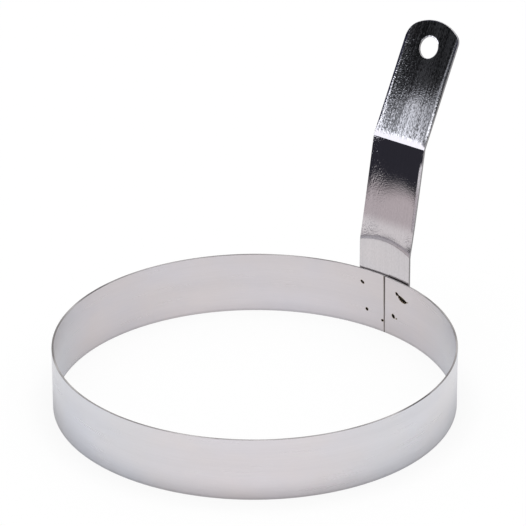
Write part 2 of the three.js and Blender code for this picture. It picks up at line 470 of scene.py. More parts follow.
class Level:
    """A number in a node tree. Sums with it add math nodes to the tree."""

    def __init__(self, bench: "NodeBench", socket: Socket) -> None:
        """Holds the output socket that gives the number, and its bench."""
        self.bench = bench
        self.socket = socket

    def joined(self, operation: str, other: "Level | float") -> "Level":
        """Result of a math node on this number and another."""
        node = self.bench.add("ShaderNodeMath", {0: self, 1: other}, operation=operation)
        return Level(self.bench, node.outputs[0])

    def __add__(self, other: "Level | float") -> "Level":
        """Sum."""
        return self.joined("ADD", other)

    def __sub__(self, other: "Level | float") -> "Level":
        """Difference."""
        return self.joined("SUBTRACT", other)

    def __mul__(self, other: "Level | float") -> "Level":
        """Product."""
        return self.joined("MULTIPLY", other)

    def __truediv__(self, other: "Level | float") -> "Level":
        """Quotient."""
        return self.joined("DIVIDE", other)

    def at_least(self, low: "Level | float") -> "Level":
        """The larger of the two."""
        return self.joined("MAXIMUM", low)

    def at_most(self, high: float) -> "Level":
        """The smaller of the two."""
        return self.joined("MINIMUM", high)

    def ramped(self, ramp: Ramp, eased: bool = False) -> "Level":
        """The number that a ramp gives for this one.

        Args:
            ramp: The ramp.
            eased: Whether it is eased at its ends.

        Returns:
            The result.
        """
        inputs = dict(zip(("Value", "From Min", "From Max", "To Min", "To Max"), (self, *ramp)))
        curve = "SMOOTHSTEP" if eased else "LINEAR"
        node = self.bench.add("ShaderNodeMapRange", inputs, interpolation_type=curve, clamp=True)
        return Level(self.bench, node.outputs["Result"])


class NodeBench:
    """Adds shader nodes to one tree and links them."""

    def __init__(self, tree: bpy.types.NodeTree) -> None:
        """Empties the tree, a material's or a world's."""
        self.tree = tree
        tree.nodes.clear()

    def feed(self, target: Socket, value: object) -> None:
        """Links an output to an input, or sets the input to a number, a vector or a colour.

        Args:
            target: Input socket.
            value: Level, output socket, number, or tuple of numbers.
        """
        if isinstance(value, Level):
            value = value.socket
        if isinstance(value, Socket):
            self.tree.links.new(value, target)
        elif target.type == "RGBA":
            target.default_value = (*value, 1.0)
        else:
            target.default_value = value

    def add(self, kind: str, inputs: dict[str | int, object] | None = None, **settings: object) -> Node:
        """Adds a node.

        Args:
            kind: Node type.
            inputs: Socket name or number to what it is fed.
            **settings: Properties of the node.

        Returns:
            The node.
        """
        node = self.tree.nodes.new(kind)
        for name, value in settings.items():
            setattr(node, name, value)
        for key, value in (inputs or {}).items():
            self.feed(node.inputs[key], value)
        return node

    def noise(self, vector: Socket, pattern: Pattern) -> Level:
        """Bare noise of a pattern.

        Args:
            vector: Where it is taken, in metres.
            pattern: The pattern.

        Returns:
            Noise from 0 to 1.
        """
        stretch = self.add("ShaderNodeMapping", {"Vector": vector, "Scale": pattern.scale})
        inputs = {"Vector": stretch.outputs[0], "Scale": 1.0}
        inputs |= {"Detail": pattern.detail, "Roughness": pattern.rough}
        return Level(self, self.add("ShaderNodeTexNoise", inputs, noise_dimensions="3D").outputs[0])

    def pattern(self, vector: Socket, pattern: Pattern) -> Level:
        """Noise of a pattern, turned into the pattern's number."""
        return self.noise(vector, pattern).ramped(pattern.ramp)

    def mix(self, share: Level, first: Socket | Colour, second: Socket | Colour) -> Socket:
        """Mixes two colours.

        Args:
            share: Share of the second.
            first: Colour, or an output that gives one.
            second: The same.

        Returns:
            The mixed colour.
        """
        node = self.add("ShaderNodeMix", {"Factor": share}, data_type="RGBA", clamp_factor=True)
        for target, value in zip([s for s in node.inputs if s.type == "RGBA"], (first, second)):
            self.feed(target, value)
        return next(s for s in node.outputs if s.type == "RGBA")

    def vector(self, operation: str, first: Socket, second: object) -> Node:
        """A vector math node on two vectors or colours."""
        return self.add("ShaderNodeVectorMath", {0: first, 1: second}, operation=operation)

    def lit(self, colour: Socket, strength: Level) -> Socket:
        """A colour made brighter or darker."""
        inputs = {0: colour, "Scale": strength}
        return self.add("ShaderNodeVectorMath", inputs, operation="SCALE").outputs[0]

    def attribute(self, name: str) -> Level:
        """Number that the mesh keeps per vertex under that name."""
        return Level(self, self.add("ShaderNodeAttribute", attribute_name=name).outputs["Fac"])

    def strip(self) -> Socket:
        """Metres across and along the sheet, from the piece's own UV map."""
        return self.add("ShaderNodeUVMap", uv_map=STRIP_MAP).outputs["UV"]

    def place(self) -> Socket:
        """Place in the row frame, in metres."""
        return self.add("ShaderNodeTexCoord").outputs["Object"]

    def projected(self, origin: Vector, direction: Vector) -> Level:
        """Metres from a point, measured along a direction."""
        away = self.vector("SUBTRACT", self.place(), tuple(origin)).outputs[0]
        return Level(self, self.vector("DOT_PRODUCT", away, tuple(direction)).outputs["Value"])

    def emission(self, colour: Colour, strength: Level | float = 1.0) -> Socket:
        """Light given off."""
        return self.add("ShaderNodeEmission", {"Color": colour, "Strength": strength}).outputs[0]

    def blend(self, share: Level, first: Socket, second: Socket) -> Socket:
        """Two shaders mixed."""
        return self.add("ShaderNodeMixShader", {0: share, 1: first, 2: second}).outputs[0]

    def show(self, surface: Socket, kind: str = "ShaderNodeOutputMaterial") -> None:
        """Links a shader to the tree's output."""
        self.add(kind, {"Surface": surface})

    def show_metal(self, colour: Socket, rough: Level, relief: Level, depth: float) -> None:
        """Links a bare metal to the tree's output.

        Args:
            colour: Its colour.
            rough: Its roughness.
            relief: Height of its relief, in depths.
            depth: Metres that the relief's number 1 stands for.
        """
        bump = self.add("ShaderNodeBump", {"Strength": 1.0, "Distance": depth, "Height": relief})
        inputs = {"Base Color": colour, "Metallic": 1.0, "Roughness": rough, "Normal": bump.outputs[0]}
        self.show(self.add("ShaderNodeBsdfPrincipled", inputs).outputs[0])


def new_material(name: str) -> tuple[Material, NodeBench]:
    """Makes an empty material.

    Args:
        name: Its name.

    Returns:
        The material, and the bench of its node tree.
    """
    material = bpy.data.materials.new(name)
    material.use_nodes = True
    return material, NodeBench(material.node_tree)


class EdgeMark(NamedTuple):
    """A duller or brighter stretch of the band's cut edges."""

    turn: float  # clockwise from the far side
    half_turn: float  # half the turn that it covers
    change: float  # how much dull it adds
    fade: Pair = (1.3, 0.7)  # half turns from its middle between which it fades in


@dataclass(frozen=True)
class SatinSteel:
    """Rolled satin stainless: fine grain along the strip, soft clouding, burnt welds, a painted shade line
    along the joint, dull cut edges.

    Painted light drifts its brightness round the ring and up the band: painted sheen, and painted shade on
    the left and at the foot. Its tint drifts round the ring too. Places round the ring are shares of its
    radius.
    """

    centre: Vector  # middle of the ring, on the table
    radius: float  # outer radius of the ring
    far_side: Vector  # unit vector to the side of the ring where its inner face is painted palest
    name: str = "satin_steel"
    cool: Colour = (0.675, 0.652, 0.69)
    warm: Colour = (0.7, 0.657, 0.668)
    cool_side: Colour = (0.955, 1.0, 1.015)  # tint of the nearer half of the ring
    edge: Colour = (0.5, 0.48, 0.48)
    dull_edge: Colour = (0.12, 0.11, 0.11)
    straw: Colour = (0.5, 0.4, 0.27)  # heat tint round a burn
    # colour of the burns and of the painted shade line along the joint
    burn_and_seam_shade: Colour = (0.008, 0.006, 0.005)
    clouds: Pattern = Pattern((26.0, 26.0, 40.0), detail=3.0)
    fine_grain: Pattern = Pattern((7000.0, 90.0, 1.0), Ramp(0.3, 0.7, -0.02, 0.02), 3.0, 0.6)
    soft_grain: Pattern = Pattern((900.0, 22.0, 1.0), Ramp(0.3, 0.7, -0.012, 0.012))
    rolls: Pattern = Pattern((130.0, 12.0, 1.0), Ramp(0.3, 0.7, 0.98, 1.02), 1.0)
    specks: Pattern = Pattern((2600.0, 2600.0, 2600.0), Ramp(0.3, 0.6, 0.75, 1.15))
    patches: Pattern = Pattern((45.0, 45.0, 1.0), Ramp(0.35, 0.65, 0.0, 0.7), 1.0)
    low_part: Ramp = Ramp(5.0 * MM, 12.0 * MM, 1.0, 0.0)  # by height
    far_end: Ramp = Ramp(0.75, 0.95)
    painted_far_sheen: Ramp = Ramp(0.0, 1.0, 0.05, 0.11)  # painted sheen on the far side, from the band's upper to its low part
    painted_near_sheen: Ramp = Ramp(-0.2, -0.4, 0.0, 0.08)  # painted sheen on the near side, of the low part
    # painted shade on the left side
    painted_left_shade: Ramp = Ramp(0.78, 0.97, 0.0, -0.055)
    painted_foot_shade: Ramp = Ramp(0.4 * MM, 1.3 * MM, -0.17, 0.0)  # painted shade at the foot, by height
    cool_start: Ramp = Ramp(0.53, 0.26)
    cool_end: Ramp = Ramp(-0.996, -0.8)
    edge_marks: tuple[EdgeMark, ...] = (
        EdgeMark(math.radians(46.0), math.radians(12.0), -1.0),
        EdgeMark(math.radians(130.0), math.radians(7.0), 0.9),
        EdgeMark(math.radians(222.0), math.radians(3.0), 1.0),
        EdgeMark(math.radians(-56.0), math.radians(9.0), 0.6),
    )
    straw_burn: Ramp = Ramp(0.05, 0.35)
    black_burn_and_shade: Ramp = Ramp(0.25, 0.6)
    roughness: Ramp = Ramp(0.3, 0.7, 0.27, 0.33)  # by the soft grain
    burn_roughness: float = 0.35
    edge_roughness: float = 0.2
    grain_depth: float = 0.0012 * MM

    @property
    def left_side(self) -> Vector:
        """Unit vector to the side that is a quarter turn anticlockwise from the far side."""
        return Vector((-self.far_side.y, self.far_side.x, 0.0))

    def toward(self, bench: NodeBench, side: Vector) -> Level:
        """Distance from the ring's middle towards a side, as a share of its radius."""
        return bench.projected(self.centre, side) / self.radius

    def painted_light(self, bench: NodeBench, far: Level) -> Level:
        """Painted light: slow painted sheen round the ring and up the band, and painted shade on the left and
        at the foot.

        Args:
            bench: The material's bench.
            far: Share of the radius towards the far side.

        Returns:
            What the painted light adds to the sheen.
        """
        height = bench.projected(self.centre, UP)
        low = height.ramped(self.low_part)
        painted_far_sheen = far.ramped(self.far_end) * low.ramped(self.painted_far_sheen)
        painted_left_shade = self.toward(bench, self.left_side).ramped(self.painted_left_shade)
        return painted_left_shade + painted_far_sheen + far.ramped(self.painted_near_sheen) * low + height.ramped(self.painted_foot_shade)

    def cut_colour(self, bench: NodeBench) -> Socket:
        """Colour of the cut edges: patchy, with the edge marks.

        Args:
            bench: The material's bench.

        Returns:
            The colour.
        """
        dull = bench.pattern(bench.place(), self.patches)
        for mark in self.edge_marks:
            aim = self.far_side * math.cos(mark.turn) - self.left_side * math.sin(mark.turn)
            start, end = (math.cos(share * mark.half_turn) for share in mark.fade)
            dull = dull + self.toward(bench, aim).ramped(Ramp(start, end, 0.0, mark.change))
        return bench.mix(dull.at_least(0.0).at_most(1.0), self.edge, self.dull_edge)

    def build(self) -> Material:
        """Makes the material.

        Returns:
            A material whose colour clouds over 20 to 60 mm, with grain lines 0.1 to 0.5 mm apart.
        """
        material, bench = new_material(self.name)
        strip, place = bench.strip(), bench.place()
        fine = bench.noise(strip, self.fine_grain)
        soft = bench.noise(strip, self.soft_grain)
        far = self.toward(bench, self.far_side)
        shade = fine.ramped(self.fine_grain.ramp) + soft.ramped(self.soft_grain.ramp)
        shade = shade + bench.pattern(strip, self.rolls) + self.painted_light(bench, far)
        cool = bench.mix(far.ramped(self.cool_start) * far.ramped(self.cool_end), WHITE, self.cool_side)
        tint = bench.mix(bench.pattern(place, self.clouds), self.cool, self.warm)
        colour = bench.lit(bench.vector("MULTIPLY", tint, cool).outputs[0], shade)
        # Burns of the welds, and the painted shade line along the joint.
        burn = (bench.attribute(BURN_AND_SHADE) * bench.pattern(place, self.specks)).at_most(1.0)
        edge = bench.attribute(CUT_EDGE)
        colour = bench.mix(edge, colour, self.cut_colour(bench))
        colour = bench.mix(burn.ramped(self.straw_burn), colour, self.straw)
        colour = bench.mix(burn.ramped(self.black_burn_and_shade), colour, self.burn_and_seam_shade)
        rough = soft.ramped(self.roughness) + burn * self.burn_roughness + edge * self.edge_roughness
        bench.show_metal(colour, rough.at_most(1.0), fine, self.grain_depth)
        return material


@dataclass(frozen=True)
class MirrorSteel:
    """Buffed stainless: a mirror with fine lengthwise buffing lines, a faint pebble, painted sheen lanes and
    painted shade.
    """

    name: str = "mirror_steel"
    pale: Colour = (0.675, 0.64, 0.655)
    deep: Colour = (0.655, 0.63, 0.65)
    edge: Colour = (0.26, 0.25, 0.255)
    # colour of the painted shade on the pad where the band covers it
    covered_shade: Colour = (0.25, 0.235, 0.24)
    web_shade_tint: Colour = (0.7, 0.66, 0.675)  # tint of the painted shade on the web
    buffed: Colour = (0.96, 1.0, 1.01)  # tint of the buffed parts
    clouds: Pattern = Pattern((60.0, 60.0, 60.0))
    lines: Pattern = Pattern((1100.0, 30.0, 1.0), Ramp(0.33, 0.67, -0.6, 0.6), 3.0, 0.6)
    flecks: Pattern = Pattern((2400.0, 800.0, 1.0), Ramp(0.35, 0.65, -0.9, 0.9), 2.0, 0.6)
    pebble: Pattern = Pattern((1900.0, 1900.0, 1900.0), detail=1.0)
    sheen_span: Pair = (0.3, 1.5)  # least and most brightness
    roughness: float = 0.02
    line_roughness: Ramp = Ramp(0.3, 0.7, 0.0, 0.03)
    rubbed_roughness: float = 0.45
    covered_shade_roughness: float = 0.4
    edge_roughness: float = 0.2
    line_depth: float = 0.01 * MM
    pebble_depth: float = 0.007 * MM

    def build(self) -> Material:
        """Makes the material.

        Returns:
            A material with buffing lines 0.4 to 1.5 mm apart along the strip and a pebble of 0.5 mm.
        """
        material, bench = new_material(self.name)
        strip, place = bench.strip(), bench.place()
        lines = bench.noise(strip, self.lines)
        edge, covered_shade, buffed = (bench.attribute(name) for name in (CUT_EDGE, BURN_AND_SHADE, BUFFED))
        streak = buffed * lines.ramped(self.lines.ramp)
        fleck = buffed * bench.pattern(strip, self.flecks)
        # Painted sheen lanes, with the buffing streaks and flecks.
        sheen = (bench.attribute(PAINTED_SHEEN) + streak) + (fleck + 1.0)
        least, most = self.sheen_span
        colour = bench.mix(bench.pattern(place, self.clouds), self.pale, self.deep)
        colour = bench.lit(colour, sheen.at_least(least).at_most(most))
        # Painted shade on the web, darker and warmer, over the tint of the buffed parts.
        web_shade_tint = bench.mix(bench.attribute(PAINTED_WEB_SHADE), bench.mix(buffed, WHITE, self.buffed), self.web_shade_tint)
        colour = bench.vector("MULTIPLY", colour, web_shade_tint).outputs[0]
        # Painted shade on the pad where the band covers it.
        colour = bench.mix(covered_shade, bench.mix(edge, colour, self.edge), self.covered_shade)
        rough = lines.ramped(self.line_roughness) * buffed + self.roughness
        rough = rough + bench.attribute(RUBBED) * self.rubbed_roughness
        rough = rough + covered_shade * self.covered_shade_roughness + edge * self.edge_roughness
        relief = lines * (buffed * (self.line_depth / MM))
        pebble = bench.noise(place, self.pebble) * (bench.attribute(GRAIN) * (self.pebble_depth / MM))
        bench.show_metal(colour, rough.at_most(1.0), relief + pebble, MM)
        return material


@dataclass(frozen=True)
class FusedSteel:
    """Weld metal: dull, mottled grey with a heat tint."""

    name: str = "fused_steel"
    grey: Colour = (0.25, 0.24, 0.235)
    tinted: Colour = (0.34, 0.27, 0.2)
    mottle: Pattern = Pattern((1800.0, 1800.0, 1800.0), detail=3.0)
    roughness: Ramp = Ramp(0.3, 0.7, 0.45, 0.65)
    ripple_depth: float = 0.02 * MM

    def build(self) -> Material:
        """Makes the material.

        Returns:
            A material mottled over 0.5 mm.
        """
        material, bench = new_material(self.name)
        mottle = bench.noise(bench.place(), self.mottle)
        colour = bench.mix(mottle.ramped(self.mottle.ramp), self.grey, self.tinted)
        bench.show_metal(colour, mottle.ramped(self.roughness), mottle, self.ripple_depth)
        return material


@dataclass
class RingBand:
    """The rolled band: a strip bent round a circle, its ends butted behind the handle."""

    welds: WeldPlan
    sheet: float = 0.8 * MM
    rounding: float = 0.14 * MM  # radius of the strip's edges
    joint_gap: float = 0.15 * MM  # opening between the strip's ends at the table
    joint_spread: float = 0.25 * MM  # how much wider the opening is at the top
    joint_offset: float = 0.6 * MM  # middle of the opening, by arc length from the handle's centre line
    joint_lift: float = 0.35 * MM  # how far the top corner of the +X end springs in from the circle
    lift_fade: Pair = (8.0 * MM, 17.0 * MM)  # places along the band between which the spring fades out
    seam_shade: float = 0.3 * MM  # width of the painted shade line along the joint, at the table
    seam_spread: float = 0.45 * MM  # how much wider that line is at the top
    seam_core_share: float = 0.6  # part of its width that is fully dark
    fine_step: float = 0.15 * MM  # grid step near the joint
    coarse_step: float = 3.0 * MM  # grid step round the rest of the band
    fine_reach: float = 15.0 * MM  # how far from the joint the fine step holds
    height: float = field(init=False)
    radius: float = field(init=False)

    def __post_init__(self) -> None:
        """Takes the height and the radius from the frame."""
        low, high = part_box("ring_band")
        self.height = high.z - low.z
        self.radius = self.welds.band_radius

    @property
    def length(self) -> float:
        """Length of the strip at the table, along the pad's face."""
        return self.welds.turn_length - self.joint_gap

    def across(self, along: Array, height: Array) -> Array:
        """Arc length from the handle's centre line, up to a full turn.

        The opening widens in step with height, so the strip's length at each height is shared out alike.

        Args:
            along: Lengths along the strip.
            height: Heights.

        Returns:
            Arc lengths.
        """
        opening = self.joint_gap + self.joint_spread * height / self.height
        stretch = (self.length + self.joint_gap - opening) / self.length
        return self.joint_offset + opening / 2.0 + along * stretch

    def lift(self, across: Array, height: Array) -> Array:
        """How far the band stands in from its circle: in step with height, and eased out along the band."""
        share = smooth_share(across, *self.lift_fade)
        return self.joint_lift * (height / self.height) * (1.0 - share)

    def place(self, height: Array, along: Array, depth: Array) -> Array:
        """Points of the band: (radius * sin(angle), radius * cos(angle), height) about the ring's axis.

        Args:
            height: Heights.
            along: Lengths along the strip.
            depth: Depths behind its inner face.

        Returns:
            Points.
        """
        across = self.across(along, height)
        angle = across / (self.radius + self.welds.pad_gap)
        radius = self.radius - self.sheet - self.lift(across, height) + depth
        level = radius * np.cos(angle) + self.welds.ring_centre
        return np.stack([radius * np.sin(angle), level, height], axis=-1)

    def wrapped(self, relief: Relief) -> Relief:
        """Carries a relief by arc length and height over to the strip's own lengths.

        Args:
            relief: Depth from arc length, negative on the -X side, and height.

        Returns:
            Depth from height and length along the strip.
        """
        turn = self.welds.turn_length

        def carried(height: Array, along: Array) -> Array:
            """Relief at the strip's own lengths."""
            across = self.across(along, height)
            return relief(np.where(across > turn / 2.0, across - turn, across), height)

        return carried

    def burn_and_seam_shade(self, across: Array, height: Array) -> Array:
        """Burn of the inner face from the welds' marks, and painted shade: a dark line along the -X end's
        edge at the joint.

        The painted line is seam_shade wide at the table and widens in step with height to seam_shade +
        seam_spread.

        Args:
            across: Arc lengths from the handle's centre line.
            height: Heights.

        Returns:
            Burn, from 0 to 1.
        """
        edge = self.joint_offset - self.joint_gap / 2.0 - self.joint_spread / 2.0 * height / self.height
        reach = self.seam_shade + self.seam_spread * height / self.height
        line = smooth_share(edge - across, reach, self.seam_core_share * reach) * (across < self.joint_offset)
        return np.maximum(self.welds.scorch(across, height), line)

    def net(self) -> FaceNet:
        """Net of the inner face: heights across, strip length along.

        Returns:
            The net.
        """
        length = self.length - 2.0 * self.rounding
        rows = eased_steps(length, self.fine_step, self.coarse_step, self.fine_reach)
        inside = self.height - 2.0 * self.rounding
        columns = np.linspace(0.0, inside, int(inside / self.fine_step) + 1)
        grid = np.meshgrid(columns + self.rounding, rows + self.rounding, indexing="ij")
        last_i, last_j = len(columns) - 1, len(rows) - 1
        rim = grid_rim(0, last_i, 0, last_j, len(rows))
        i, j = np.divmod(rim, len(rows))
        outward = np.stack([(i == last_i) * 1.0 - (i == 0), (j == last_j) * 1.0 - (j == 0)], axis=1)
        points = np.stack(grid, axis=-1).reshape(-1, 2)
        return FaceNet(points, grid_cells(len(columns), len(rows)), [rim], [outward])

    def build(self, finish: Material) -> Piece:
        """Makes and dresses the band.

        Args:
            finish: Its steel.

        Returns:
            The piece, which stands for CAD node ring_band.
        """
        reliefs = (self.wrapped(self.welds.pits), self.wrapped(self.welds.seats))
        sheet = SheetBuilder(self.sheet, self.rounding)
        piece = sheet.build("band", self.net(), self.place, reliefs, {BURN_AND_SHADE: self.wrapped(self.burn_and_seam_shade)})
        return hand_over(piece, finish, "ring_band")


class Lane(NamedTuple):
    """A painted sheen lane: a brighter or darker lane along the grip."""

    middle: float
    half_width: float
    gain: float


class Patch(NamedTuple):
    """Part of a tone: its gain where it is fully in, eased at its sides and at both ends."""

    gain: float
    sides: Pair = (-3.0, -2.0)  # places across, in half widths, between which it comes in
    rise: Pair = (-2.0, -1.0)  # places onward between which it comes in
    fall: Pair = (1.0, 2.0)  # places onward between which it ends


@dataclass(frozen=True)
class Tone:
    """A number that varies over the handle's face: a base and what its patches add."""

    base: float
    patches: tuple[Patch, ...]

    def at(self, share: Array, onward: Array) -> Array:
        """The tone at places across, in half widths, and places onward.

        Args:
            share: Places across.
            onward: Places onward.

        Returns:
            The base and the sum of gain * share come in across * share come in onward * share not yet ended.
        """
        total = np.full_like(onward, self.base)
        for gain, sides, rise, fall in self.patches:
            gone = smooth_share(onward, *fall)
            total += gain * smooth_share(share, *sides) * smooth_share(onward, *rise) * (1.0 - gone)
        return total


LEFT = (-0.1, -0.7)  # places across between which the left side's pebble comes in
UPPER = (-28.0 * MM, -6.0 * MM)  # places onward between which the upper web's pebble comes in


@dataclass
class StripHandle:
    """The handle: curved pad, arc-shaped crease, straight web, elbow, round-nosed grip with a hole.

    Places across run from the middle to +X. Places along are lengths past the elbow at mid-width, negative
    below it, and onward is the same from the elbow's own line, which runs askew.
    """

    welds: WeldPlan
    width: float = 25.6 * MM
    sheet: float = 0.8 * MM
    rounding: float = 0.16 * MM  # radius of the strip's edges
    rounding_steps: int = 4  # facets in each quarter round of the edges
    crease_height: float = 39.65 * MM  # top of the pad at mid-width
    crease_crown: float = 2.33 * MM  # how much lower the crease runs at the side edges
    crease_tilt: float = -0.2 * MM  # how much higher its corner line is at the +X edge than at mid-width
    crease_radius: float = 14.0 * MM
    overbend: float = 0.42 * MM  # how far the strip was bent past the web's line at the crease, at mid-width
    overbend_tilt: float = 0.4  # share by which that is more at the +X edge and less at the -X edge
    overbend_reach: float = 7.3 * MM  # length over which the web comes back to its line
    elbow_height: float = 80.8 * MM  # of the elbow's corner line
    elbow_setback: float = 7.07 * MM  # from the pad's face out to that line
    elbow_tilt: float = 0.4 * MM  # how much further along the grip the line is at the +X edge
    elbow_ease: float = 0.5 * MM  # length over which the bend fades; it starts this far before the line
    grip_length: float = 49.55 * MM  # from the middle of the elbow's line to the tip
    grip_lean: float = math.radians(27.2)  # from upright
    tip_rise: float = 5.3 * MM  # height of the tip's crown over the width
    tip_offset: float = 0.65 * MM  # middle of the crown, to +X
    left_corner: float = 8.3 * MM  # radius of the tip's corner on the -X side
    right_corner: float = 4.2 * MM  # radius of the tip's corner on the +X side
    hole_radius: float = 4.33 * MM
    hole_inset: float = 10.95 * MM  # hole's centre below the tip
    hole_offset: float = 0.15 * MM  # hole's centre, to -X
    roll_reach: float = 2.4 * MM  # how far in from an edge the buffing has rounded the face
    roll_depth: float = 0.15 * MM  # how deep it has rounded it at the grip's edges
    roll_web: float = 0.12  # share of that depth below the elbow
    roll_ease: float = 6.0 * MM  # length past the elbow over which the rounding reaches its full depth
    rim_reach: float = 0.7 * MM  # how far in from the tip and from the hole's rim the face is rounded
    rim_depth: float = 0.03 * MM  # how deep it is rounded there
    lanes: tuple[Lane, ...] = (
        Lane(-7.8 * MM, 1.7 * MM, -0.78),
        Lane(-4.2 * MM, 2.0 * MM, -0.68),
        Lane(1.3 * MM, 0.9 * MM, 0.6),
        Lane(3.4 * MM, 0.8 * MM, 0.25),
        Lane(6.0 * MM, 1.3 * MM, -0.12),
        Lane(9.2 * MM, 0.9 * MM, 0.1),
        Lane(12.0 * MM, 0.8 * MM, 0.3),
    )
    lane_start: Pair = (1.5 * MM, 4.0 * MM)  # places onward between which the lanes fade in
    buffing: Tone = Tone(0.05, (Patch(0.95, rise=(0.9 * MM, 3.0 * MM)),))
    # painted shade on the web, darker and warmer, from about 37 to 14 mm below the elbow
    web_shade_tint: Tone = Tone(0.0, (Patch(1.0, rise=(-37.3 * MM, -31.3 * MM), fall=(-21.0 * MM, -14.0 * MM)),))
    rubbing: Tone = Tone(0.0, (Patch(1.0, (0.867, 0.96), (-36.0 * MM, -31.0 * MM), (-11.0 * MM, -4.0 * MM)),))
    grain: Tone = Tone(0.3, (
        Patch(1.7, LEFT),
        Patch(-0.765, LEFT, UPPER),
        Patch(1.6, LEFT, (22.25 * MM, 34.25 * MM)),
        Patch(0.4, rise=UPPER),
        Patch(0.3, (0.1, -0.6), UPPER),
        Patch(0.5, (0.6, 0.95)),
    ))
    covered_shade_fade: float = 0.4 * MM  # height over which the painted shade ends above the band
    normal_step: float = 0.01 * MM  # step of the differences that give the face's normal
    corner_points: int = 13  # points on each of the tip's corners
    crown_points: int = 57  # points on its crown
    row_counts: tuple[int, ...] = (90, 18, 50, 24, 16, 26, 46)  # rows between the knots of the net
    elbow_knots: Pair = (2.0, 6.0)  # places of two knots past the elbow, in elbow_ease
    last_knot: float = 21.9 * MM  # place of the last one before the tip, below the tip
    hole_margin: float = 1.4  # half the side of the block of cells round the hole, in hole radii
    hole_rings: int = 8  # rings of cells from that block to the hole
    foot_height: float = field(init=False)
    covered: float = field(init=False)

    def __post_init__(self) -> None:
        """Takes the foot's height and the band's top from the frame."""
        self.foot_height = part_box("handle")[0].z
        self.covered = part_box("ring_band")[1].z

    @property
    def half_width(self) -> float:
        """Half the strip's width."""
        return self.width / 2.0

    @property
    def face_radius(self) -> float:
        """Radius of the pad's inner face."""
        return self.welds.band_radius + self.welds.pad_gap

    @property
    def crown_radius(self) -> float:
        """Radius of the tip's crown arc, from its rise over the half width."""
        return (self.half_width**2 + self.tip_rise**2) / (2.0 * self.tip_rise)

    @property
    def grip_direction(self) -> Array:
        """Unit direction along the grip, from the elbow to the tip."""
        return np.array([0.0, math.sin(self.grip_lean), math.cos(self.grip_lean)])

    @property
    def hole(self) -> Array:
        """Place (across, along) of the hole's centre."""
        return np.array([-self.hole_offset, self.grip_length - self.hole_inset])

    def skew(self, across: Array) -> Array:
        """How far along the grip the elbow's corner line stands, in step with the place across."""
        return self.elbow_tilt * across / self.half_width

    def crease(self, across: Array) -> Array:
        """Height of the crease's corner line: a tilted parabola, lowest at the side edges."""
        share = across / self.half_width
        return self.crease_height - self.crease_crown * share**2 + self.crease_tilt * share

    def corners(self, across: Array) -> tuple[Array, Array]:
        """Corner points of the columns, on the crease's line and on the elbow's line in the grip's plane.

        Args:
            across: Places across.

        Returns:
            Points on the crease, points on the elbow.
        """
        angle = across / self.face_radius
        level = self.face_radius * np.cos(angle) + self.welds.ring_centre
        crease = np.stack([self.face_radius * np.sin(angle), level, self.crease(across)], axis=-1)
        setback = self.face_radius + self.elbow_setback + self.welds.ring_centre
        middle = np.stack(np.broadcast_arrays(across, setback, self.elbow_height), axis=-1)
        return crease, middle + self.skew(across)[..., None] * self.grip_direction

    def spring(self, across: Array) -> Array:
        """Overbend of each column, as a step backwards."""
        size = self.overbend * (1.0 + self.overbend_tilt * across / self.half_width)
        return size[..., None] * np.array([0.0, 1.0, 0.0])

    def web_line(self, across: Array) -> tuple[Array, Array]:
        """The web's straight line, from the crease's corner, moved back by the spring, to the elbow.

        Args:
            across: Places across.

        Returns:
            Length and unit direction.
        """
        crease, elbow = self.corners(across)
        line = elbow - crease - self.spring(across)
        return np.linalg.norm(line, axis=-1), unit(line)

    def foot(self, across: Array) -> Array:
        """Place along of the pad's lower edge, as far below the elbow as web and pad are long."""
        return self.foot_height - self.crease(across) - self.web_line(across)[0] + self.skew(across)

    def crease_reach(self, across: Array) -> Array:
        """Tangent length of the crease's bend: radius * tan(half the turn)."""
        leaving = unit(self.web_line(across)[1] + self.spring(across) / self.overbend_reach)
        return self.crease_radius * np.tan(np.arccos(np.clip(leaving[..., 2], -1.0, 1.0)) / 2.0)

    def bent(self, corner: Array, into: Array, out: Array, past: Array) -> Array:
        """Points of a path that turns a corner on an arc of the crease's radius.

        Before the arc the path is straight along into, after it straight along out. On the arc, which starts
        radius * tan(turn / 2) before the corner, the path has turned by an angle in step with past.

        Args:
            corner: Corner points.
            into: Unit directions before the corner.
            out: Unit directions after it.
            past: Signed lengths past the corner.

        Returns:
            Points.
        """
        radius = self.crease_radius
        turn = np.arccos(np.clip(np.sum(into * out, axis=-1), -1.0, 1.0))
        reach = radius * np.tan(turn / 2.0)
        inward = unit(out - into * np.sum(into * out, axis=-1)[..., None])
        angle = turn * np.clip((past + reach) / (2.0 * reach), 0.0, 1.0)
        run, rise = np.sin(angle)[..., None], 1.0 - np.cos(angle)[..., None]
        arc = corner - into * reach[..., None] + radius * (run * into + rise * inward)
        before = corner + into * past[..., None]
        after = corner + out * past[..., None]
        return np.where((past <= -reach)[..., None], before, np.where((past >= reach)[..., None], after, arc))

    def sharp(self, corner: Array, into: Array, out: Array, past: Array) -> Array:
        """Points of a path that turns a corner at once, and then ever more slowly.

        The turn starts elbow_ease before the corner. At length x from there, the share exp(-x / elbow_ease)
        of the step still goes along into and the rest along out, so far from the corner the path is the
        straight line along out.

        Args:
            corner: Corner points.
            into: Unit directions before the corner.
            out: Unit directions after it.
            past: Signed lengths past the corner.

        Returns:
            Points.
        """
        ease = self.elbow_ease
        begun = np.clip(past + ease, 0.0, None)
        onward = ease * (1.0 - np.exp(-begun / ease))
        turned = corner + into * (onward - ease)[..., None] + out * (begun - onward)[..., None]
        return np.where((past <= -ease)[..., None], corner + into * past[..., None], turned)

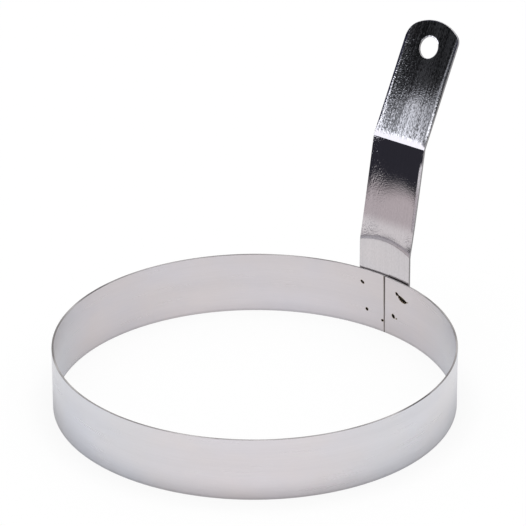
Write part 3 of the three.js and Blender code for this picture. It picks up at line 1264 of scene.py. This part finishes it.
    def face(self, across: Array, along: Array) -> Array:
        """Points of the front face.

        At length p past the crease, the web stands spring * exp(-p / overbend_reach) before its line.

        Args:
            across: Places across.
            along: Places along.

        Returns:
            Points.
        """
        crease, elbow = self.corners(across)
        length, web = self.web_line(across)
        spring = self.spring(across)
        leaving = unit(web + spring / self.overbend_reach)
        up = np.broadcast_to(np.array([0.0, 0.0, 1.0]), web.shape)
        grip = np.broadcast_to(self.grip_direction, web.shape)
        onward = along - self.skew(across)
        past = np.clip(onward + length, 0.0, None)[..., None]
        lower = self.bent(crease, up, leaving, onward + length) + (web - leaving) * past + spring
        upper = self.sharp(elbow, web, grip, onward)
        line = np.where((onward < -length / 2.0)[..., None], lower, upper)
        return line - spring * np.exp(-past / self.overbend_reach)

    def place(self, across: Array, along: Array, depth: Array) -> Array:
        """Points of the sheet: the face's point moved by depth against the face's normal.

        The normal is the cross product of the face's central differences across and along.

        Args:
            across: Places across.
            along: Places along.
            depth: Depths below the front face.

        Returns:
            Points.
        """
        step = self.normal_step
        sideways = self.face(across + step, along) - self.face(across - step, along)
        onwards = self.face(across, along + step) - self.face(across, along - step)
        return self.face(across, along) + unit(np.cross(onwards, sideways)) * depth[..., None]

    def tip_outline(self) -> tuple[Array, Array]:
        """The tip's outline from the -X side to the +X side.

        Two corner arcs and a crown arc, tangent to each other and to the sides. Points are drawn in by the
        rounding, so at angle t on an arc: centre + (radius - rounding) * (cos t, sin t).

        Returns:
            Places (across, along), and outward angles.
        """
        crown = np.array([self.tip_offset, self.grip_length - self.crown_radius])
        arcs = []
        for side, radius, start in ((-1.0, self.left_corner, math.pi), (1.0, self.right_corner, 0.0)):
            aside = side * (self.half_width - radius) - self.tip_offset
            rise = math.sqrt((self.crown_radius - radius) ** 2 - aside**2)
            turns = np.linspace(start, math.atan2(rise, aside), self.corner_points)
            arcs.append((crown + (aside, rise), radius, turns))
        (left, left_radius, left_turns), (right, right_radius, right_turns) = arcs
        arcs = (
            (left, left_radius, left_turns[:-1]),
            (crown, self.crown_radius, np.linspace(left_turns[-1], right_turns[-1], self.crown_points)),
            (right, right_radius, right_turns[-2::-1]),
        )
        points = [centre + (radius - self.rounding) * heading(turns) for centre, radius, turns in arcs]
        return np.concatenate(points), np.concatenate([turns for _, _, turns in arcs])

    def rim_distance(self, across: Array, along: Array) -> Array:
        """Distance to the tip's crown or to the hole's rim, whichever is nearer.

        Args:
            across: Places across.
            along: Places along.

        Returns:
            Distances.
        """
        crown_along = self.grip_length - self.crown_radius
        crown = self.crown_radius - np.hypot(across - self.tip_offset, along - crown_along)
        crown = np.where(along > crown_along, crown, self.half_width)
        hole = np.hypot(across - self.hole[0], along - self.hole[1]) - self.hole_radius
        return np.clip(np.minimum(crown, hole), 0.0, None)

    def buffed_off(self, across: Array, along: Array) -> Array:
        """Depth that buffing took off: depth * (1 - distance / reach)^2, near the sides and the rims.

        Args:
            across: Places across.
            along: Places along.

        Returns:
            Depths.
        """
        side = np.clip(1.0 - (self.half_width - np.abs(across)) / self.roll_reach, 0.0, 1.0)
        rim = np.clip(1.0 - self.rim_distance(across, along) / self.rim_reach, 0.0, 1.0)
        onto_grip = smooth_share(along - self.skew(across), 0.0, self.roll_ease)
        rolled = self.roll_depth * side**2 * (self.roll_web + (1.0 - self.roll_web) * onto_grip)
        return np.maximum(rolled, self.rim_depth * rim**2)

    def pad_height(self, across: Array, along: Array) -> Array:
        """Height above the table of a place on the pad."""
        return self.foot_height + along - self.foot(across)

    def front(self, across: Array, along: Array) -> Array:
        """Relief of the front face: buffed edges, and the nuggets' seats in the pad."""
        return self.buffed_off(across, along) + self.welds.seats(across, self.pad_height(across, along))

    def back(self, across: Array, along: Array) -> Array:
        """Relief of the back face: the electrode's dishes in the pad."""
        return self.welds.dishes(across, self.pad_height(across, along))

    def covered_shade(self, across: Array, along: Array) -> Array:
        """Painted shade on the pad where the band covers it, fading out just above the band."""
        return smooth_share(self.pad_height(across, along), self.covered + self.covered_shade_fade, self.covered)

    def sheen(self, across: Array, along: Array) -> Array:
        """Painted sheen of the lanes, each gain * exp(-(distance / half width)^2), above the elbow only."""
        total = sum(gain * np.exp(-(((across - middle) / half) ** 2)) for middle, half, gain in self.lanes)
        return total * smooth_share(along - self.skew(across), *self.lane_start)

    def toned(self, tone: Tone) -> Relief:
        """A tone as a number by places across and along."""
        return lambda across, along: tone.at(across / self.half_width, along - self.skew(across))

    def net(self) -> FaceNet:
        """Net of the front face, with a ring of cells round the hole in place of a block of the grid.

        Columns are the tip outline's places across. Rows are shared out over pad, crease, web, elbow and
        grip, and above the grip's first part they rise in step to the tip's outline. The ring's cells run
        from the block's rim to the hole's circle, straight and evenly.

        Returns:
            The net.
        """
        outline, turns = self.tip_outline()
        columns, top = outline.T
        reach = self.crease_reach(columns)
        length, _ = self.web_line(columns)
        skew = self.skew(columns)
        knots = [self.foot(columns) + self.rounding, skew - length - reach, skew - length + reach,
                 skew - self.elbow_ease, *(skew + knot * self.elbow_ease for knot in self.elbow_knots),
                 np.full_like(columns, self.grip_length - self.last_knot), top]
        stretches = [a[:, None] + (b - a)[:, None] * np.linspace(0.0, 1.0, n + 1)[None, :-1]
                     for a, b, n in zip(knots, knots[1:], self.row_counts)]
        along = np.concatenate([*stretches, top[:, None]], axis=1)
        rows = along.shape[1]
        points = np.stack([np.repeat(columns[:, None], rows, axis=1), along], axis=-1).reshape(-1, 2)
        low_side, high_side = (self.hole + side * self.hole_margin * self.hole_radius for side in (-1.0, 1.0))
        left, right = (int(np.searchsorted(columns, side[0])) for side in (low_side, high_side))
        middle = along[(left + right) // 2]
        low, high = (int(np.searchsorted(middle, side[1])) for side in (low_side, high_side))
        block = grid_rim(left, right, low, high, rows)
        from_hole = points[block] - self.hole
        bearing = np.arctan2(from_hole[:, 1], from_hole[:, 0])
        circle = self.hole + (self.hole_radius + self.rounding) * heading(bearing)
        shares = (np.arange(1, self.hole_rings + 1) / self.hole_rings)[:, None, None]
        rings = points[block] + shares * (circle - points[block])
        loops = [block, *(len(points) + np.arange(rings[..., 0].size).reshape(self.hole_rings, -1))]
        points = np.concatenate([points, rings.reshape(-1, 2)])
        patch = [np.stack([a, np.roll(a, -1), np.roll(b, -1), b], axis=1) for a, b in zip(loops, loops[1:])]
        cells = np.concatenate([grid_cells(len(columns), rows, (left, right, low, high)), *patch])
        used = np.unique(cells)
        number = np.zeros(len(points), dtype=int)
        number[used] = np.arange(len(used))
        rim = grid_rim(0, len(columns) - 1, 0, rows - 1, rows)
        i, j = np.divmod(rim, rows)
        outward = np.stack([(i == len(columns) - 1) * 1.0 - (i == 0), -1.0 * (j == 0)], axis=1)
        at_tip = j == rows - 1
        outward[at_tip] = heading(turns[i[at_tip]])
        hole_rim = loops[-1][::-1]
        rims = [number[rim], number[hole_rim]]
        return FaceNet(points[used], number[cells], rims, [outward, -heading(bearing[::-1])])

    def build(self, finish: Material) -> Piece:
        """Makes and dresses the handle.

        Args:
            finish: Its steel.

        Returns:
            The piece, which stands for CAD node handle.
        """
        toned = {BUFFED: self.buffing, GRAIN: self.grain, PAINTED_WEB_SHADE: self.web_shade_tint, RUBBED: self.rubbing}
        tones = {name: self.toned(tone) for name, tone in toned.items()}
        # Painted shade where the band covers the pad, and painted sheen lanes.
        tones |= {BURN_AND_SHADE: self.covered_shade, PAINTED_SHEEN: self.sheen}
        sheet = SheetBuilder(self.sheet, self.rounding, self.rounding_steps)
        piece = sheet.build("handle_strip", self.net(), self.place, (self.front, self.back), tones)
        return hand_over(piece, finish, "handle")


@dataclass(frozen=True)
class PhotoCamera:
    """The camera, placed by its fit to the rims of the band."""

    ring_centre: float  # place of the ring's axis along +Y
    aim_height: float = 12.5 * MM  # of the aimed point on the ring's axis
    azimuth: float = math.radians(41.76)  # turn of the view from +Y towards -X
    elevation: float = math.radians(27.717)  # above the horizon
    distance: float = 1.5315  # from the aimed point
    lens: float = 271.88  # focal length, in mm as Blender has it
    sensor: float = 36.0  # its width, in the same mm
    picture: int = 526  # the picture's side, in pixels
    aim_pixel: Pair = (254.822, 371.577)  # where the aimed point falls, from the upper left corner
    roll: float = -0.003  # turn about the line of sight
    clip: Pair = (0.05, 20.0)  # nearest and farthest distance that is seen

    @property
    def right(self) -> Vector:
        """Level direction to the right of the picture."""
        return Vector((math.cos(self.azimuth), math.sin(self.azimuth), 0.0))

    @property
    def away(self) -> Vector:
        """Level direction away from the camera."""
        return Vector((-math.sin(self.azimuth), math.cos(self.azimuth), 0.0))

    def build(self) -> Piece:
        """Makes the scene's camera.

        Looking straight at the aimed point, the camera is rolled, then pitched and turned until that point
        falls on its pixel.

        Returns:
            The camera.
        """
        forward = self.away * math.cos(self.elevation) - UP * math.sin(self.elevation)
        up = self.right.cross(forward)
        focal = self.lens / self.sensor * self.picture
        off_right, off_down = (place - self.picture / 2.0 for place in self.aim_pixel)
        turn = math.atan(off_right / focal)
        pitch = math.atan(off_down / focal * math.cos(turn))
        turns = Matrix.Rotation(turn, 3, "Y") @ Matrix.Rotation(pitch, 3, "X")
        axes = turns @ Matrix.Rotation(-self.roll, 3, "Z") @ Matrix((self.right, up, forward))
        data = bpy.data.cameras.new("photo_camera")
        data.lens = self.lens
        data.sensor_width = self.sensor
        data.clip_start, data.clip_end = self.clip
        camera = bpy.data.objects.new("photo_camera", data)
        aimed = Vector((0.0, self.ring_centre, self.aim_height))
        facing = Matrix((axes[0], axes[1], -axes[2])).transposed()
        camera.matrix_world = Matrix.Translation(aimed - forward * self.distance) @ facing.to_4x4()
        bpy.context.scene.collection.objects.link(camera)
        bpy.context.scene.camera = camera
        return camera


class Fade(NamedTuple):
    """A fall of a card's light."""

    start: float  # height where it starts
    end: float  # height where it ends
    left: float  # share of the light that is left above it
    slant: float = 0.0  # how much both heights rise towards the camera's side, per metre


@dataclass(frozen=True)
class Card:
    """An upright studio card to the picture's left, seen only in the steel."""

    name: str
    distance: float  # from the handle, to the left
    heights: Pair  # of its lower and upper edge
    sides: Pair  # places of its two side edges, from the handle towards the camera's side
    light: Colour  # its strength at the lower edge
    fades: tuple[Fade, ...] = ()


@dataclass
class Studio:
    """White table in a white surround, a soft lamp overhead, and the cards that the mirror steel shows."""

    camera: PhotoCamera
    handle_place: Vector  # where the handle stands, on the table
    ring_radius: float
    table_half: float = 3.0  # half the table's side
    table_drop: float = 0.05 * MM  # how far it lies below the ring
    table_light: float = 0.88  # how much of the table is white light for the camera's rays
    table_glow: float = 0.4  # the same inside the ring, for rays that reflections send out
    inner_glow: float = 0.76  # strength of that light
    table_albedo: float = 0.9
    contact_reach: float = 14.0 * MM  # how far outside the ring the table is darker
    contact_shade: float = 0.8  # share of its white that is left at the ring
    edge_bow: float = 71.0  # how fast the mirrored table edge bows away, per metre
    bow_middle: float = 0.0378  # where the bow starts, from the handle to the side
    bow_reach: Pair = (-0.02, 0.045)  # how far it goes to both sides
    first_fade: Pair = (0.2, 0.27)  # distances between which the mirrored table first darkens
    first_tint: Colour = (0.86, 0.84, 0.845)
    second_fade: Pair = (0.31, 0.365)  # distances between which it gives way to the room
    room_dark: Colour = (0.032, 0.032, 0.042)
    sky: Ramp = Ramp(0.05, 0.75, 0.55, 1.0)  # light of the room by the height of the view direction
    lamp_height: float = 1.6
    lamp_away: float = 0.2  # how far the lamp hangs beyond the ring, from the camera
    lamp_size: float = 1.0
    lamp_power: float = 6.5
    cards: tuple[Card, ...] = (
        Card("dark_wall", 1.0, (-0.7, 0.9), (-1.6, 0.6), (0.036, 0.036, 0.064)),
        Card("bright_card", 0.6, (0.003, 0.5), (-0.005, 0.125), (1.45, 1.48, 1.58),
             (Fade(0.2855, 0.2925, 0.48, 0.2), Fade(0.352, 0.362, 0.45, -1.0),
              Fade(0.2925, 0.2985, 0.08, 0.8))),
        Card("left_card", 0.6, (0.003, 0.4), (-0.07, -0.005), (1.9, 1.93, 2.03), (Fade(0.29, 0.298, 0.03),)),
        Card("right_card", 0.6, (0.003, 0.4), (0.112, 0.3), (1.4, 1.42, 1.48), (Fade(0.347, 0.358, 0.05),)),
    )

    @property
    def mirror_axis(self) -> Vector:
        """Level direction that the handle's faces, which look to -Y, reflect the camera's view to."""
        away = self.camera.away
        return Vector((away.x, -away.y, 0.0))

    @property
    def mirror_side(self) -> Vector:
        """Level direction a quarter turn anticlockwise from the mirror axis."""
        axis = self.mirror_axis
        return Vector((-axis.y, axis.x, 0.0))

    def plain_object(self, name: str, corners: list[Vector], material: Material) -> Piece:
        """Makes a stage object of one four-cornered face.

        Args:
            name: Name of the object and its mesh.
            corners: Its corners, anticlockwise seen from its front.
            material: Its material.

        Returns:
            The object.
        """
        mesh = bpy.data.meshes.new(name)
        mesh.from_pydata([tuple(c) for c in corners], [], [(0, 1, 2, 3)])
        mesh.update()
        mesh.materials.append(material)
        thing = bpy.data.objects.new(name, mesh)
        bpy.context.scene.collection.objects.link(thing)
        return thing

    def table_fades(self, bench: NodeBench, surface: Socket, mirrored: Level) -> Socket:
        """Darkens the mirrored table in two falls that bow away by the square of the way aside.

        Args:
            bench: The table material's bench.
            surface: Shader of the white table.
            mirrored: 1 for rays that reflections send out.

        Returns:
            The shader with both falls.
        """
        least, most = self.bow_reach
        sideways = bench.projected(self.handle_place, self.mirror_side) - self.bow_middle
        sideways = sideways.at_least(least).at_most(most)
        leftwards = bench.projected(self.handle_place, self.mirror_axis) - sideways * sideways * self.edge_bow
        for reach, left in ((self.first_fade, self.first_tint), (self.second_fade, self.room_dark)):
            beyond = leftwards.ramped(Ramp(*reach), eased=True)
            surface = bench.blend(mirrored * beyond, surface, bench.emission(left))
        return surface

    def build_table(self) -> Piece:
        """Makes the table: white to the camera, with the object's shadow, and white in nearby reflections.

        Returns:
            The table.
        """
        material, bench = new_material("white_table")
        path = bench.add("ShaderNodeLightPath")
        seen, glossy, passed = (
            Level(bench, path.outputs[f"Is {kind} Ray"]) for kind in ("Camera", "Glossy", "Transmission"))
        mirrored = glossy.at_least(passed)
        span = bench.vector("DISTANCE", bench.place(), (0.0, self.camera.ring_centre, 0.0))
        outside = Level(bench, span.outputs["Value"]) - self.ring_radius
        inside = outside.ramped(Ramp(-MM, 0.0, 1.0, 0.0))
        share = (seen * self.table_light + mirrored * inside * self.table_glow).at_most(1.0)
        shade = outside.ramped(Ramp(0.0, self.contact_reach, self.contact_shade, 1.0), eased=True)
        colour = bench.mix(shade.at_least(inside), BLACK, (self.table_albedo,) * 3)
        white = bench.add("ShaderNodeBsdfDiffuse", {"Color": colour}).outputs[0]
        surface = bench.blend(share, white, bench.emission(WHITE, seen.at_least(self.inner_glow)))
        bench.show(self.table_fades(bench, surface, mirrored))
        half = self.table_half
        sides = ((-half, -half), (half, -half), (half, half), (-half, half))
        return self.plain_object("table", [Vector((x, y, -self.table_drop)) for x, y in sides], material)

    def build_card(self, card: Card) -> Piece:
        """Makes one card, which only reflections see.

        Args:
            card: The card's plan.

        Returns:
            The card.
        """
        foot = self.handle_place + self.mirror_axis * card.distance
        material, bench = new_material(card.name)
        height = bench.projected(foot, UP)
        sideways = bench.projected(foot, self.mirror_side)
        strength = 1.0
        for fade in card.fades:
            level = height - sideways * fade.slant
            strength = level.ramped(Ramp(fade.start, fade.end, 1.0, fade.left)) * strength
        bench.show(bench.emission(card.light, strength))
        (low, high), (first, last) = card.heights, card.sides
        corners = [foot + self.mirror_side * side + UP * z
                   for side, z in ((first, low), (last, low), (last, high), (first, high))]
        thing = self.plain_object(card.name, corners, material)
        thing.visible_camera = False
        thing.visible_diffuse = False
        thing.visible_shadow = False
        return thing

    def build_world(self) -> None:
        """Makes the surround: white to the camera, and to other rays a plain room, brighter overhead."""
        world = bpy.data.worlds.new("surround")
        bpy.context.scene.world = world
        world.use_nodes = True
        bench = NodeBench(world.node_tree)
        direction = bench.add("ShaderNodeTexCoord").outputs["Generated"]
        height = Level(bench, bench.add("ShaderNodeSeparateXYZ", {0: direction}).outputs["Z"])
        seen = Level(bench, bench.add("ShaderNodeLightPath").outputs["Is Camera Ray"])
        inputs = {"Strength": height.ramped(self.sky, eased=True).at_least(seen), "Color": WHITE}
        bench.show(bench.add("ShaderNodeBackground", inputs).outputs[0], "ShaderNodeOutputWorld")

    def build_lamp(self) -> Piece:
        """Makes the square soft lamp, which faces the ring.

        Returns:
            The lamp.
        """
        place = self.camera.away * self.lamp_away + UP * self.lamp_height
        data = bpy.data.lights.new("overhead_lamp", "AREA")
        data.shape = "SQUARE"
        data.size = self.lamp_size
        data.energy = self.lamp_power
        lamp = bpy.data.objects.new("overhead_lamp", data)
        lamp.location = place
        lamp.rotation_mode = "QUATERNION"
        lamp.rotation_quaternion = (-place).to_track_quat("-Z", "Y")
        lamp.visible_camera = False
        bpy.context.scene.collection.objects.link(lamp)
        return lamp

    def build(self) -> None:
        """Builds the whole set."""
        self.build_world()
        self.build_table()
        for card in self.cards:
            self.build_card(card)
        self.build_lamp()


@dataclass
class EggRing:
    """The whole utensil: band, handle and weld nuggets, each in its finish."""

    welds: WeldPlan
    far_side: Vector  # unit vector to the side of the ring where its inner face is painted palest

    def dress_nuggets(self, finish: Material) -> list[Piece]:
        """Gives the nuggets' CAD nodes their weld finish.

        Args:
            finish: The weld metal.

        Returns:
            The nuggets.
        """
        nuggets = [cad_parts[spot.node] for spot in self.welds.spots]
        for nugget in nuggets:
            nugget.data.materials.clear()
            nugget.data.materials.append(finish)
        return nuggets

    def build(self) -> list[Piece]:
        """Makes every piece and logs it.

        Returns:
            The pieces.
        """
        centre = Vector((0.0, self.welds.ring_centre, 0.0))
        satin = SatinSteel(centre, self.welds.band_radius, self.far_side)
        pieces = [
            RingBand(self.welds).build(satin.build()),
            StripHandle(self.welds).build(MirrorSteel().build()),
            *self.dress_nuggets(FusedSteel().build()),
        ]
        for piece in pieces:
            LOG.info("%s: %d faces", piece.name, len(piece.data.polygons))
        return pieces


def main() -> None:
    """Builds the object, the studio and the camera."""
    logging.basicConfig(level=logging.INFO, format="%(name)s: %(message)s")
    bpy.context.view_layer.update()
    low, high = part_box("ring_band")
    welds = WeldPlan(ring_centre=(low.y + high.y) / 2.0, band_radius=(high.y - low.y) / 2.0)
    camera = PhotoCamera(welds.ring_centre)
    camera.build()
    EggRing(welds, camera.away).build()
    handle_place = Vector((0.0, welds.ring_centre + welds.band_radius, 0.0))
    Studio(camera, handle_place, welds.band_radius).build()
    bpy.context.scene.view_settings.view_transform = "Standard"


if __name__ == "__main__":
    main()
